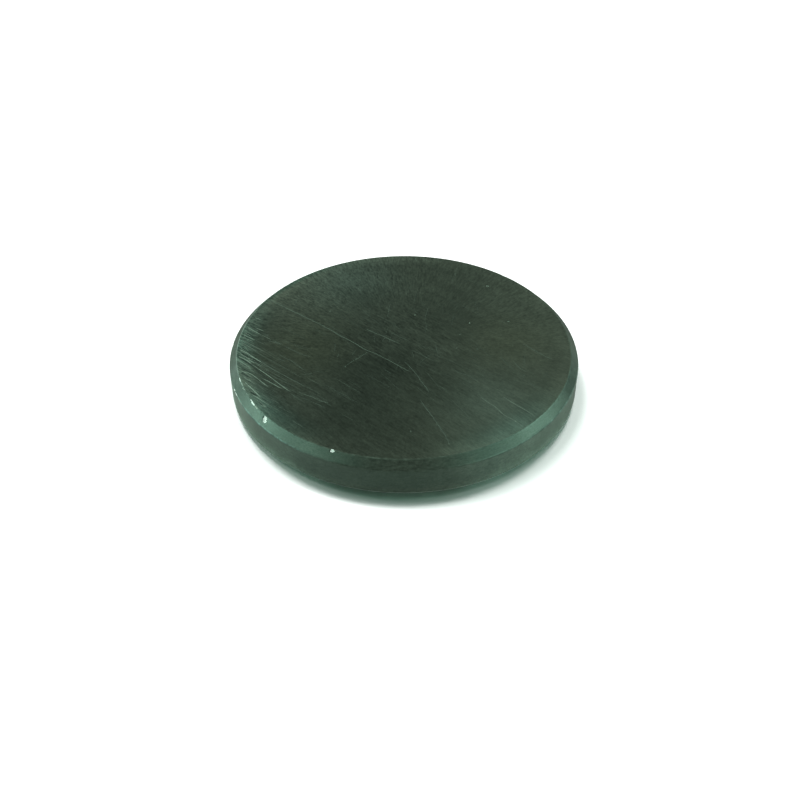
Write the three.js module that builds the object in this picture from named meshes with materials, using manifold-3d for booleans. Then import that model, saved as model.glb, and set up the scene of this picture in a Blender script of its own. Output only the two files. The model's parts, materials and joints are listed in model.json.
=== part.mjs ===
// Weighted dealer button: a plain chamfered disc that lies flat on a card table.
// A moulded cup forms the top face, both chamfers and the outer wall. A steel slug sits in a
// locating ring inside it between two foam adhesive discs, and a plate with four pegs closes
// the underside flush with the rim.
// Millimetres, +Z up. The origin is the centre of the underside, on the table.
import * as THREE from 'three';
import { mergeVertices } from 'three/addons/utils/BufferGeometryUtils.js';
import Module from 'manifold-3d';

// ---- driving dimensions -------------------------------------------------------------
const DISC_R = 25.0;        // outer radius
const DISC_T = 6.0;         // overall thickness
const CHAMFER = 1.1;        // 45 degree chamfer, top and bottom
const FACE_T = 1.6;         // thickness of the top face
const CAVITY_R = 21.8;      // inside of the outer wall
const REBATE_R = 22.9;      // rebate that takes the cover
const COVER_T = 1.4;        // cover thickness, equal to the rebate's depth
const COVER_GAP = 0.2;      // visible seam round the cover
const COVER_BREAK = 0.15;   // broken edge of the cover, underside

const TAPE_T = 0.4;         // each foam adhesive disc
const TAPE_R = 16.2;
const WEIGHT_R = 17.0;      // steel slug
const WEIGHT_BREAK = 0.3;   // its edge break

const RING_IN = 17.3;       // locating ring round the slug
const RING_OUT = 18.3;
const RING_H = 2.2;
const RING_SLOT_W = 2.4;    // four slots let air out when the slug is pressed home
const RIB_COUNT = 12;       // ribs between the locating ring and the outer wall
const RIB_W = 1.0;
const RIB_H = 1.5;

const PEG_COUNT = 4;        // cover pegs and the bosses they enter
const PEG_PCR = 20.05;
const PEG_R = 0.75;
const PEG_H = 1.7;
const BOSS_R = 1.9;           // wide enough to merge with the locating ring and the outer wall
const BOSS_HOLE_R = 0.95;
const BOSS_CLEAR = 0.25;    // gap between boss ends and cover

const SEG = 120;            // facets of every large circle
const SEG_SMALL = 24;       // facets of pegs and bosses

const CAVITY_Z = DISC_T - FACE_T;                       // ceiling of the cavity
const WEIGHT_T = CAVITY_Z - COVER_T - 2 * TAPE_T;       // slug fills what the tapes leave

// ---- materials ----------------------------------------------------------------------
const blackPlastic = new THREE.MeshStandardMaterial({ color: 0x38423a, roughness: 0.45, metalness: 0.0 });
const coverPlastic = new THREE.MeshStandardMaterial({ color: 0x343d36, roughness: 0.5, metalness: 0.0 });
const steel = new THREE.MeshStandardMaterial({ color: 0x9a9c9b, roughness: 0.38, metalness: 1.0 });
const foam = new THREE.MeshStandardMaterial({ color: 0xd9d6cb, roughness: 0.9, metalness: 0.0 });

// ---- solids -------------------------------------------------------------------------
const wasm = await Module();
wasm.setup();

// Closed three.js geometry to a manifold-3d solid.
function solid(geometry) {
  const g = geometry.clone();
  g.deleteAttribute('normal');
  g.deleteAttribute('uv');
  const m = mergeVertices(g, 1e-5);
  return new wasm.Manifold(new wasm.Mesh({
    numProp: 3,
    vertProperties: new Float32Array(m.attributes.position.array),
    triVerts: new Uint32Array(m.index.array),
  }));
}

// Solid back to three.js geometry.
function geometryOf(manifold) {
  const mesh = manifold.getMesh();
  const g = new THREE.BufferGeometry();
  g.setAttribute('position', new THREE.BufferAttribute(new Float32Array(mesh.vertProperties), 3));
  g.setIndex(new THREE.BufferAttribute(new Uint32Array(mesh.triVerts), 1));
  g.computeVertexNormals();
  return g;
}

// Turned body about Z from [radius, z] pairs, listed from the bottom up.
function turned(profile, segments = SEG) {
  const g = new THREE.LatheGeometry(profile.map(([r, z]) => new THREE.Vector2(r, z)), segments);
  g.rotateX(Math.PI / 2);
  return g;
}

// Turned ring with a closed section.
function turnedRing(rIn, rOut, z0, z1) {
  return turned([[rIn, z0], [rOut, z0], [rOut, z1], [rIn, z1], [rIn, z0]]);
}

function upright(r, z0, z1, segments = SEG_SMALL) {
  const g = new THREE.CylinderGeometry(r, r, z1 - z0, segments);
  g.rotateX(Math.PI / 2);
  g.translate(0, 0, (z0 + z1) / 2);
  return g;
}

// Radial bar from r0 to r1 at an angle about Z.
function radialBar(r0, r1, width, z0, z1, angle) {
  const g = new THREE.BoxGeometry(r1 - r0, width, z1 - z0);
  g.translate((r0 + r1) / 2, 0, (z0 + z1) / 2);
  g.rotateZ(angle);
  return g;
}

function pegAngle(i) {
  return (i + 0.5) * (2 * Math.PI / PEG_COUNT);
}

function buildShell() {
  // Outside form and its open cavity, as one turned profile.
  let body = solid(turned([
    [0, CAVITY_Z],
    [CAVITY_R, CAVITY_Z],
    [CAVITY_R, COVER_T],
    [REBATE_R, COVER_T],
    [REBATE_R, 0],
    [DISC_R - CHAMFER, 0],
    [DISC_R, CHAMFER],
    [DISC_R, DISC_T - CHAMFER],
    [DISC_R - CHAMFER, DISC_T],
    [0, DISC_T],
  ]));

  // Locating ring, slotted at four places.
  const root = CAVITY_Z + 0.4;
  let ring = solid(turnedRing(RING_IN, RING_OUT, CAVITY_Z - RING_H, root));
  for (let i = 0; i < 4; i++) {
    const slot = radialBar(RING_IN - 1, RING_OUT + 1, RING_SLOT_W, CAVITY_Z - RING_H - 1, CAVITY_Z, i * Math.PI / 2);
    ring = ring.subtract(solid(slot));
  }
  body = body.add(ring);

  // Ribs that stiffen the face outside the slug. They miss the slots and the bosses.
  for (let i = 0; i < RIB_COUNT; i++) {
    const a = (i + 0.5) * (2 * Math.PI / RIB_COUNT);
    const nearBoss = Array.from({ length: PEG_COUNT }, (_, k) => pegAngle(k))
      .some((b) => Math.abs(Math.atan2(Math.sin(a - b), Math.cos(a - b))) < 0.02);
    if (nearBoss) continue;
    const rib = radialBar(RING_OUT - 0.4, CAVITY_R + 0.4, RIB_W, CAVITY_Z - RIB_H, root, a);
    body = body.add(solid(rib));
  }

  // Bosses that take the cover's pegs.
  for (let i = 0; i < PEG_COUNT; i++) {
    const a = pegAngle(i);
    const boss = upright(BOSS_R, COVER_T + BOSS_CLEAR, root);
    boss.translate(PEG_PCR * Math.cos(a), PEG_PCR * Math.sin(a), 0);
    const hole = upright(BOSS_HOLE_R, COVER_T - 0.5, COVER_T + PEG_H + 0.4);
    hole.translate(PEG_PCR * Math.cos(a), PEG_PCR * Math.sin(a), 0);
    body = body.add(solid(boss)).subtract(solid(hole));
  }
  return geometryOf(body);
}

function buildCover() {
  const r = REBATE_R - COVER_GAP;
  let body = solid(turned([
    [0, 0],
    [r - COVER_BREAK, 0],
    [r, COVER_BREAK],
    [r, COVER_T],
    [0, COVER_T],
  ]));
  for (let i = 0; i < PEG_COUNT; i++) {
    const a = pegAngle(i);
    const peg = upright(PEG_R, COVER_T - 0.5, COVER_T + PEG_H);
    peg.translate(PEG_PCR * Math.cos(a), PEG_PCR * Math.sin(a), 0);
    body = body.add(solid(peg));
  }
  return geometryOf(body);
}

function disc(r, thickness, edge) {
  if (edge > 0) {
    return turned([[0, 0], [r - edge, 0], [r, edge], [r, thickness - edge], [r - edge, thickness], [0, thickness]]);
  }
  return turned([[0, 0], [r, 0], [r, thickness], [0, thickness]]);
}

function named(name, geometry, material, z = 0) {
  const mesh = new THREE.Mesh(geometry, material);
  mesh.name = name;
  mesh.position.set(0, 0, z);
  return mesh;
}

// ---- assembly -----------------------------------------------------------------------
const group = new THREE.Group();

const shell = new THREE.Group();
shell.add(named('body_shell', buildShell(), blackPlastic));
group.add(shell);

// The stack inside, from the cover up: foam, slug, foam.
const stack = new THREE.Group();
stack.position.set(0, 0, COVER_T);
stack.add(named('tape_lower', disc(TAPE_R, TAPE_T, 0), foam, 0));
stack.add(named('steel_weight', disc(WEIGHT_R, WEIGHT_T, WEIGHT_BREAK), steel, TAPE_T));
stack.add(named('tape_upper', disc(TAPE_R, TAPE_T, 0), foam, TAPE_T + WEIGHT_T));
group.add(stack);

group.add(named('base_cover', buildCover(), coverPlastic));

export default group;
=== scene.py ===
import json
import math

import bpy
import numpy as np
from mathutils import Matrix, Vector
from mathutils.geometry import delaunay_2d_cdt

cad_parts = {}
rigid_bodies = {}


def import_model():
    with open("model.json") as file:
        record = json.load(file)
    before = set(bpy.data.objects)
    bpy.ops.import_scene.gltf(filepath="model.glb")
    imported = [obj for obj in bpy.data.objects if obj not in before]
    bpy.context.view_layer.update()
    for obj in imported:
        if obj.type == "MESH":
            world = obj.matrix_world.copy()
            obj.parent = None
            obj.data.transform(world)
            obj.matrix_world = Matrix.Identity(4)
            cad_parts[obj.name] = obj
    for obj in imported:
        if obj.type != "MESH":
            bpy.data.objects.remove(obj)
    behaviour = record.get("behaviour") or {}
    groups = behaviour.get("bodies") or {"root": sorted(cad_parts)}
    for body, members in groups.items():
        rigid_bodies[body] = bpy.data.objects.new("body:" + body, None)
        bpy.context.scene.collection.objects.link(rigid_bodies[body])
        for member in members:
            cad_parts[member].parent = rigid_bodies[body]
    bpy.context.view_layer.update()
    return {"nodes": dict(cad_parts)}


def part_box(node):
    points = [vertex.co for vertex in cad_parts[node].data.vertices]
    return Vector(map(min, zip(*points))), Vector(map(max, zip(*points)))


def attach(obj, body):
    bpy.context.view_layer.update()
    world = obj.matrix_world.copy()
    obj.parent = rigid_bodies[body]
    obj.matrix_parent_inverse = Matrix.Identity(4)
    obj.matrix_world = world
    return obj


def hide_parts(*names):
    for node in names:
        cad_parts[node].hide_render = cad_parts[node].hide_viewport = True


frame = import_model()
MM = 0.001

# ------------------------------------------------------------------ sizes, read from the frame
shell_lo, shell_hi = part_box("body_shell")
cover_lo, cover_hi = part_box("base_cover")
R = shell_hi.x / MM                     # outer radius
T = shell_hi.z / MM                     # thickness
COVER_R = cover_hi.x / MM


def node_vertices(name):
    o = frame["nodes"][name]
    co = np.empty(len(o.data.vertices) * 3)
    o.data.vertices.foreach_get("co", co)
    return co.reshape(-1, 3) / MM


def ring_radius(name, z, tol=0.02):
    """Largest and smallest radius of a node's vertices at a height."""
    v = node_vertices(name)
    rr = np.hypot(v[:, 0], v[:, 1])[np.abs(v[:, 2] - z) < tol]
    return rr.max(), rr.min()


FLAT_R, REBATE_R = ring_radius("body_shell", 0.0)     # bottom land, outside and inside
CHAMFER = R - FLAT_R
sv = node_vertices("body_shell")
sr = np.hypot(sv[:, 0], sv[:, 1])
LEDGE_Z = sv[(np.abs(sr - REBATE_R) < 0.02) & (sv[:, 2] > 0.2)][:, 2].max()
CAVITY_R = sr[np.abs(sv[:, 2] - LEDGE_Z) < 0.01].min()
COVER_T = LEDGE_Z

N_AZ = 1080                             # steps round the disc
AZ = np.arange(N_AZ) * 2 * math.pi / N_AZ
# Azimuth is measured from the front (-Y) towards +X.
SIN, COS = np.sin(AZ), -np.cos(AZ)


# ------------------------------------------------------------------ small numeric helpers
def periodic_noise(seed, lowest, highest, falloff=0.8):
    """Smooth noise round the disc, about -1 to 1."""
    rng = np.random.default_rng(seed)
    out = np.zeros(N_AZ)
    total = 0.0
    for k in range(lowest, highest + 1):
        amp = (lowest / k) ** falloff
        out += amp * np.cos(k * AZ + rng.uniform(0, 2 * math.pi))
        total += amp * amp / 2
    return out / (math.sqrt(total) * 2.2)


def smoothstep(x, a, b):
    t = np.clip((x - a) / (b - a), 0, 1)
    return t * t * (3 - 2 * t)


def wrap_deg(d):
    return (d + 180.0) % 360.0 - 180.0


# ------------------------------------------------------------------ outer skin, a grid of rings
def skin_rings(corners, counts):
    """Rounded profile for every azimuth. corners: (r, z, fillet radius per azimuth, arc steps). counts: steps on the
    straight after each corner. Returns positions (rings, N_AZ, 2), outward normals and nominal arc length."""
    pts, nrm = [], []
    P = [np.array(c[:2], float) for c in corners]
    dirs = [(P[i + 1] - P[i]) / np.linalg.norm(P[i + 1] - P[i]) for i in range(len(P) - 1)]
    outs = [np.array([-d[1], d[0]]) for d in dirs]                   # left of travel is outside
    starts = []                                                      # end of each arc, per azimuth
    for i, (r, z, fil, steps) in enumerate(corners):
        if i in (0, len(corners) - 1):
            pt = np.repeat(P[i][None, :], N_AZ, 0)
            n = outs[0] if i == 0 else outs[-1]
            arc_p, arc_n = [pt], [np.repeat(n[None, :], N_AZ, 0)]
        else:
            u, v, n1, n2 = dirs[i - 1], dirs[i], outs[i - 1], outs[i]
            turn = math.acos(max(-1, min(1, float(n1 @ n2))))
            fil = np.broadcast_to(np.asarray(fil, float), (N_AZ,))
            t = fil * math.tan(turn / 2)
            C = P[i][None, :] - t[:, None] * u[None, :] - fil[:, None] * n1[None, :]
            arc_p, arc_n = [], []
            for k in range(steps + 1):
                a = turn * k / steps
                n = (n1 * math.sin(turn - a) + n2 * math.sin(a)) / math.sin(turn)
                arc_p.append(C + fil[:, None] * n[None, :])
                arc_n.append(np.repeat(n[None, :], N_AZ, 0))
        starts.append((arc_p, arc_n))
    for i in range(len(corners)):
        arc_p, arc_n = starts[i]
        pts += arc_p
        nrm += arc_n
        if i < len(corners) - 1:
            a, b = arc_p[-1], starts[i + 1][0][0]
            for k in range(1, counts[i]):
                s = k / counts[i]
                pts.append(a + (b - a) * s)
                nrm.append(np.repeat(outs[i][None, :], N_AZ, 0))
    pts, nrm = np.array(pts), np.array(nrm)
    mean = pts.mean(1)
    s = np.concatenate([[0], np.cumsum(np.linalg.norm(np.diff(mean, axis=0), axis=1))])
    return pts, nrm, s


# Edge radii vary a little round the disc, as on an edge that has been handled.
edge_in = 0.30 + 0.09 * periodic_noise(11, 3, 60)
edge_out = 0.38 + 0.11 * periodic_noise(12, 2, 50)
edge_low = 0.22 + 0.06 * periodic_noise(13, 2, 40)
edge_foot = 0.16 + 0.04 * periodic_noise(14, 3, 40)
CORNERS = [
    (FLAT_R - 0.30, T, None, 0),
    (FLAT_R, T, edge_in, 7),
    (R, T - CHAMFER, edge_out, 7),
    (R, CHAMFER, edge_low, 4),
    (FLAT_R, 0.0, edge_foot, 4),
    (REBATE_R, 0.0, 0.08, 3),
    (REBATE_R, LEDGE_Z, None, 0),
]
COUNTS = [2, 10, 16, 6, 3, 3]
rings, ring_n, ring_s = skin_rings(CORNERS, COUNTS)
S_IN = 0.30                                             # arc length at the inner chamfer edge
S_OUT = S_IN + math.hypot(CHAMFER, CHAMFER)             # at the outer chamfer edge
S_LOW = S_OUT + (T - 2 * CHAMFER)                       # at the lower chamfer's outer edge
S_FOOT = S_LOW + math.hypot(CHAMFER, CHAMFER)           # at the bottom land

# Dents: azimuth in degrees, arc length on the profile, half-size round the disc, half-size down the
# profile, depth, slant (mm of arc length per mm round), kind (1 scuffed, 2 chipped to near white).
# The kind 1 and 2 marks between -72 and -22 degrees are partly real chips and scuffs, partly painted glints.
DENTS = [
    (-49.6, S_IN + 0.46, 0.46, 0.33, 0.16, 0.36, 2),
    (-48.2, S_IN + 0.86, 0.20, 0.07, 0.03, 0.3, 0),
    (-22.6, S_IN + 0.12, 0.30, 0.19, 0.12, 0.12, 2),
    (-21.0, S_IN + 0.02, 0.50, 0.10, 0.03, 0.0, 0),
    (-71.2, S_IN + 0.06, 0.42, 0.034, 0.028, 0.04, 2),
    (-68.6, S_IN + 0.04, 0.42, 0.045, 0.026, -0.02, 1),
    (-66.4, S_IN + 0.08, 0.36, 0.036, 0.028, -0.03, 1),
    (-63.2, S_IN + 0.0, 0.30, 0.09, 0.03, 0.0, 0),
    (-58.6, S_IN + 0.08, 0.80, 0.032, 0.028, 0.04, 2),
    (-55.4, S_IN + 0.14, 0.55, 0.050, 0.030, 0.05, 1),
    (-52.2, S_IN + 0.06, 0.30, 0.10, 0.035, 0.0, 0),
    (-69.6, S_OUT - 0.04, 0.30, 0.055, 0.030, 0.10, 2),
    (-67.4, S_OUT - 0.01, 0.55, 0.055, 0.030, 0.0, 2),
    (-64.6, S_OUT + 0.02, 0.42, 0.050, 0.028, 0.05, 1),
    (-62.4, S_OUT + 0.0, 0.36, 0.045, 0.026, 0.0, 1),
    (-60.8, S_OUT - 0.04, 0.34, 0.10, 0.03, 0.0, 0),
    (-51.2, S_OUT - 0.03, 0.46, 0.08, 0.025, 0.03, 0),
    (-49.3, S_OUT + 0.03, 0.26, 0.09, 0.03, 0.0, 0),
    (-43.0, S_OUT + 0.0, 0.26, 0.08, 0.02, 0.0, 0),
    (-36.0, S_IN + 0.02, 0.26, 0.07, 0.015, 0.0, 0),
    (-4.6, S_IN + 0.01, 0.22, 0.06, 0.02, 0.0, 0),
    (-1.6, S_IN + 0.03, 0.30, 0.06, 0.02, 0.04, 0),
    (17.5, S_OUT - 0.02, 0.36, 0.08, 0.02, 0.0, 0),
    (33.0, S_OUT + 0.02, 0.45, 0.09, 0.025, 0.0, 0),
    (58.5, S_OUT - 0.03, 0.50, 0.12, 0.04, 0.03, 0),
    (66.0, S_OUT - 0.05, 0.40, 0.10, 0.03, 0.0, 0),
    (72.0, S_IN + 0.06, 0.44, 0.11, 0.04, 0.0, 0),
    (-93.5, S_OUT + 0.02, 0.42, 0.20, 0.11, 0.0, 1),
    (-101.0, S_IN + 0.02, 0.40, 0.11, 0.035, 0.0, 0),
    (118.0, S_OUT + 0.0, 0.46, 0.16, 0.06, 0.05, 1),
    (139.0, S_IN + 0.03, 0.60, 0.12, 0.04, 0.0, 1),
    (163.0, S_OUT + 0.0, 0.40, 0.14, 0.05, 0.0, 1),
    (-158.0, S_OUT - 0.03, 0.50, 0.13, 0.045, -0.04, 1),
    (-131.0, S_IN + 0.05, 0.42, 0.14, 0.045, 0.0, 1),
    (-118.0, S_OUT + 0.02, 0.52, 0.12, 0.045, 0.0, 0),
]
_rng = np.random.default_rng(77)
for _ in range(40):                                     # small handling marks all round, every edge
    edge = _rng.choice([S_IN, S_OUT, S_LOW, S_FOOT], p=[0.2, 0.3, 0.3, 0.2])
    DENTS.append((float(_rng.uniform(-180, 180)), float(edge + _rng.uniform(-0.04, 0.04)),
                  float(_rng.uniform(0.12, 0.34)), float(_rng.uniform(0.06, 0.09)),
                  float(_rng.uniform(0.008, 0.02)), 0.0, 0))
for _ in range(30):                                     # short rubs on the wall and the chamfer faces
    s0 = _rng.choice([_rng.uniform(S_OUT + 0.4, S_LOW - 0.4), _rng.uniform(S_IN + 0.3, S_OUT - 0.3)])
    DENTS.append((float(_rng.uniform(-180, 180)), float(s0), float(_rng.uniform(0.5, 1.6)),
                  float(_rng.uniform(0.06, 0.09)), float(_rng.uniform(0.006, 0.014)),
                  float(_rng.uniform(-0.35, 0.35)), 0))

disp = np.zeros(rings.shape[:2])
kind = np.zeros(rings.shape[:2], int)
rough_edge = 1 + 0.18 * periodic_noise(21, 30, 200, 0.2)[None, :]
for az0, s0, la, ls, depth, slant, tag in DENTS:
    along = np.radians(wrap_deg(np.degrees(AZ) - az0)) * R
    across = ring_s[:, None] - s0 - slant * along[None, :]
    rho = np.sqrt((along[None, :] / la) ** 2 + (across / ls) ** 2) * rough_edge
    d = depth * np.clip(1 - rho ** 2, 0, 1) ** 0.8
    disp = np.maximum(disp, d)
    kind = np.where((rho < 0.95) & (tag > kind), tag, kind)
# The inner edge of the top face and everything inside the rebate stay where they are.
hold = smoothstep(ring_s, 0.0, 0.12) * (1 - smoothstep(ring_s, S_FOOT + 0.3, S_FOOT + 0.6))
disp *= hold[:, None]
rz = rings - ring_n * disp[:, :, None]
rz[:, :, 1] = np.clip(rz[:, :, 1], 0.0, T)

skin = np.empty((len(rz), N_AZ, 3))
skin[:, :, 0] = rz[:, :, 0] * SIN[None, :]
skin[:, :, 1] = rz[:, :, 0] * COS[None, :]
skin[:, :, 2] = rz[:, :, 1]

# ------------------------------------------------------------------ scratches on the top face
# Width in mm, level, path in mm on the face, X right and Y to the back. Levels 1 to 6 are ever brighter bare plastic,
# the brightest, mostly near the left rim, partly a painted glint; 7 is a shallow groove coloured darker than the face.
SCRATCHES = [
    (0.12, 3, [(-20.45, 11.44), (-18.85, 10.31), (-17.12, 8.88), (-15.17, 7.37), (-13.0, 5.63), (-11.05, 4.03), (-9.32, 2.38), (-7.37, 0.74), (-5.63, -0.95), (-4.12, -1.95), (-3.03, -2.82), (-1.73, -3.9), (-0.22, -5.29), (0.95, -6.24)]),
    (0.10, 2, [(0.0, -3.73), (0.52, -4.55), (0.95, -5.29), (1.73, -6.72), (2.38, -8.32), (3.12, -9.88), (3.47, -10.83)]),
    (0.115, 2, [(2.17, -12.13), (2.51, -13.09), (3.21, -14.56), (3.9, -16.03), (4.55, -17.59), (5.29, -19.33), (5.89, -21.32)]),
    (0.1, 2, [(-4.98, -1.47), (-5.46, -1.99), (-6.07, -2.6), (-6.93, -3.47), (-7.63, -4.16), (-8.32, -4.98)]),
    (0.12, 3, [(-5.72, 4.12), (-5.11, 3.6), (-4.33, 3.03), (-3.47, 2.47), (-2.38, 1.65), (-1.47, 0.95), (-0.43, 0.26)]),
    (0.08, 2, [(-2.25, 3.38), (-1.08, 2.38), (-0.13, 1.65), (0.69, 1.0)]),
    (0.08, 2, [(0.95, -1.21), (2.08, -1.86), (2.77, -2.51), (3.55, -3.21), (4.51, -3.9)]),
    (0.06, 1, [(4.07, -1.99), (3.29, -2.77), (2.6, -3.64), (2.08, -4.59)]),
    (0.08, 1, [(-2.86, -5.63), (-2.34, -6.02), (-1.65, -6.76)]),
    (0.115, 6, [(-23.45, -0.96), (-22.36, -1.78), (-21.27, -2.87), (-19.91, -4.10)]),
    (0.10, 3, [(-20.10, -3.92), (-18.27, -5.60), (-16.91, -6.69)]),
    (0.10, 3, [(-17.10, -6.53), (-15.54, -7.78), (-14.45, -8.60), (-13.60, -9.40)]),
    (0.11, 6, [(-23.38, -2.58), (-22.23, -3.45), (-21.40, -4.35)]),
    (0.105, 5, [(-21.50, -4.24), (-20.59, -5.19), (-18.54, -7.24), (-16.91, -9.01), (-15.47, -10.51)]),
    (0.08, 2, [(-20.45, -4.92), (-18.54, -6.69), (-17.18, -7.78), (-15.81, -8.87)]),
    (0.09, 5, [(-23.28, -3.55), (-22.30, -4.45), (-21.27, -5.60)]),
    (0.09, 4, [(-23.10, -4.10), (-22.23, -4.92), (-21.27, -5.74), (-20.73, -6.28)]),
    (0.11, 5, [(-22.68, -5.95), (-21.68, -6.28), (-20.45, -7.37), (-19.36, -8.60), (-18.41, -9.56)]),
    (0.11, 5, [(-19.63, -7.51), (-18.68, -8.19), (-17.86, -8.87), (-16.63, -9.83)]),
    (0.12, 3, [(-22.15, -7.55), (-21.40, -8.05), (-20.73, -8.60)]),
    (0.11, 6, [(-21.85, -8.45), (-21.14, -9.28), (-20.04, -10.78), (-19.36, -11.60)]),
    (0.10, 2, [(-21.30, -9.60), (-20.40, -10.70), (-19.60, -11.40)]),
    (0.08, 2, [(-20.90, -8.10), (-19.80, -9.20), (-18.90, -10.20)]),
    (0.11, 5, [(-23.30, 2.50), (-22.36, 1.90), (-21.40, 1.22)]),
    (0.08, 3, [(-21.50, 1.30), (-20.60, 0.62), (-19.90, 0.15)]),
    (0.09, 5, [(-23.36, 2.00), (-22.50, 1.42), (-21.70, 0.80)]),
    (0.10, 4, [(-23.42, 1.40), (-22.36, 0.54), (-21.27, -0.41), (-19.91, -1.51)]),
    (0.09, 4, [(-23.46, 0.85), (-22.60, 0.05), (-21.70, -0.75), (-20.75, -1.55)]),
    (0.09, 2, [(-23.40, 0.40), (-21.95, -0.69), (-21.00, -1.64), (-20.18, -2.33)]),
    (0.10, 3, [(-22.90, 4.05), (-22.10, 3.40), (-21.50, 2.95)]),
    (0.08, 2, [(-21.90, 3.20), (-21.05, 2.55), (-20.30, 2.10)]),
    (0.12, 5, [(-21.89, 4.36), (-21.20, 3.92), (-20.45, 3.47)]),
    (0.09, 4, [(-22.60, 5.70), (-21.90, 5.30), (-21.20, 4.75)]),
    (0.13, 5, [(-22.10, 6.85), (-21.60, 6.55), (-21.10, 6.24)]),
    (0.10, 3, [(-19.91, 1.29), (-18.82, 0.81), (-17.59, 0.13)]),
    (0.09, 2, [(-17.40, 0.02), (-15.81, -1.23), (-14.18, -2.32), (-13.09, -2.73)]),
    (0.09, 2, [(-18.00, -1.78), (-16.91, -2.87), (-15.81, -3.69), (-14.31, -5.33), (-13.63, -5.87)]),
    (0.09, 2, [(-18.00, -3.01), (-17.30, -3.42), (-16.63, -3.89)]),
    (0.07, 2, [(-14.39, -6.85), (-13.17, -6.59), (-12.22, -6.15), (-10.83, -6.24)]),
    (0.10, 3, [(-14.45, -10.51), (-13.50, -11.06), (-12.40, -11.60), (-11.31, -12.42), (-10.09, -12.83)]),
    (0.08, 2, [(-12.40, -12.56), (-11.04, -13.51), (-10.36, -13.92)]),
    (0.09, 2, [(-15.50, -10.75), (-14.70, -11.50), (-13.80, -12.20)]),
    (0.15, 7, [(-23.00, 3.10), (-22.35, 2.52), (-21.70, 1.92)]),
    (0.17, 7, [(-23.10, -1.88), (-22.20, -2.73), (-21.27, -3.55), (-19.90, -4.55)]),
    (0.13, 7, [(-23.05, -3.10), (-21.35, -4.72), (-19.50, -6.98), (-17.75, -8.78)]),
    (0.17, 7, [(-22.57, -6.42), (-21.68, -7.03), (-20.73, -7.78)]),
    (0.11, 7, [(-16.77, -8.74), (-15.40, -9.83)]),
    (0.13, 7, [(-22.75, -5.35), (-22.00, -5.80), (-21.10, -6.55)]),
    (0.13, 7, [(-23.35, -0.35), (-22.50, -1.20), (-21.60, -2.00)]),
    (0.12, 7, [(-22.00, 6.25), (-21.40, 5.90)]),
    (0.12, 7, [(-22.00, 7.35), (-21.40, 7.00)]),
    (0.09, 2, [(-18.29, -11.79), (-17.51, -12.31), (-16.55, -13.09)]),
    (0.12, 4, [(13.35, -11.53), (14.13, -12.44), (15.17, -13.52), (16.29, -14.56), (17.33, -15.86)]),
    (0.11, 4, [(10.23, -11.61), (11.18, -12.7), (12.13, -13.65), (12.7, -14.56), (13.26, -15.43), (14.52, -16.55), (15.51, -17.68)]),
    (0.08, 2, [(6.41, -5.2), (7.58, -6.28), (9.01, -7.15), (10.4, -8.54)]),
    (0.08, 2, [(4.85, -9.32), (5.98, -10.4)]),
    (0.08, 3, [(15.43, -3.9), (15.86, -4.85), (16.55, -5.81), (17.42, -6.5)]),
    (0.09, 3, [(17.07, 0.26), (17.85, -0.52), (18.85, -1.56), (19.72, -2.43), (20.63, -3.21), (21.41, -3.55)]),
    (0.07, 2, [(13.61, -2.6), (14.13, -3.81), (14.73, -4.51)]),
    (0.08, 2, [(17.16, -8.75), (18.11, -9.62), (18.89, -10.05)]),
    (0.08, 2, [(-2.77, 9.71), (-1.91, 8.49)]),
    (0.08, 3, [(-7.45, 15.08), (-6.93, 14.39), (-6.5, 13.61)]),
    (0.09, 3, [(1.91, 23.2), (2.08, 22.1)]),
    (0.05, 1, [(-10.83, 11.7), (-10.4, 10.83), (-9.88, 9.88)]),
]
# Small pits: x, y, long size, short size, angle in degrees, brightness level.
PITS = [
    (13.0, 15.08, 0.50, 0.26, 0, 5), (9.71, 5.33, 0.32, 0.22, 90, 5), (1.65, 7.45, 0.28, 0.22, 90, 4),
    (15.47, 5.72, 0.36, 0.18, 0, 4), (8.19, 2.47, 0.26, 0.16, 90, 3), (10.53, -1.08, 0.26, 0.20, 0, 3),
    (0.87, -18.63, 0.36, 0.16, 90, 3), (7.58, -0.74, 0.24, 0.16, 90, 4), (16.68, -7.06, 0.24, 0.20, 0, 3),
    (12.7, -14.6, 0.28, 0.20, -45, 4), (13.26, -15.43, 0.26, 0.20, -45, 4), (14.65, -16.68, 0.28, 0.20, -45, 5),
    (-3.29, -2.6, 0.26, 0.20, -40, 3), (5.76, -21.02, 0.26, 0.18, -60, 3), (-8.23, -4.94, 0.20, 0.16, 0, 1),
    (18.89, -1.56, 0.22, 0.16, 0, 2), (-9.53, 2.47, 0.22, 0.16, -40, 2), (-11.05, 8.45, 0.26, 0.18, 90, 3),
]


def fine_scratches(seed, n, centre, spread, angle, angle_spread, length, width, level, r_max):
    """A family of fine, nearly parallel scratches, each slightly curved."""
    rng = np.random.default_rng(seed)
    out = []
    while len(out) < n:
        x, y = centre[0] + rng.normal() * spread[0], centre[1] + rng.normal() * spread[1]
        a = math.radians(angle + rng.normal() * angle_spread)
        half = rng.uniform(*length) / 2
        bow = rng.normal() * 0.012
        pts = []
        for t in np.linspace(-half, half, max(3, int(half * 2 / 0.9) + 1)):
            pts.append((x + t * math.cos(a) - bow * t * t * math.sin(a), y + t * math.sin(a) + bow * t * t * math.cos(a)))
        if max(math.hypot(*p) for p in pts) > r_max:
            continue
        out.append((float(rng.uniform(*width)), int(rng.integers(level[0], level[1] + 1)), pts))
    return out


INNER_R = FLAT_R - 0.42


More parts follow.
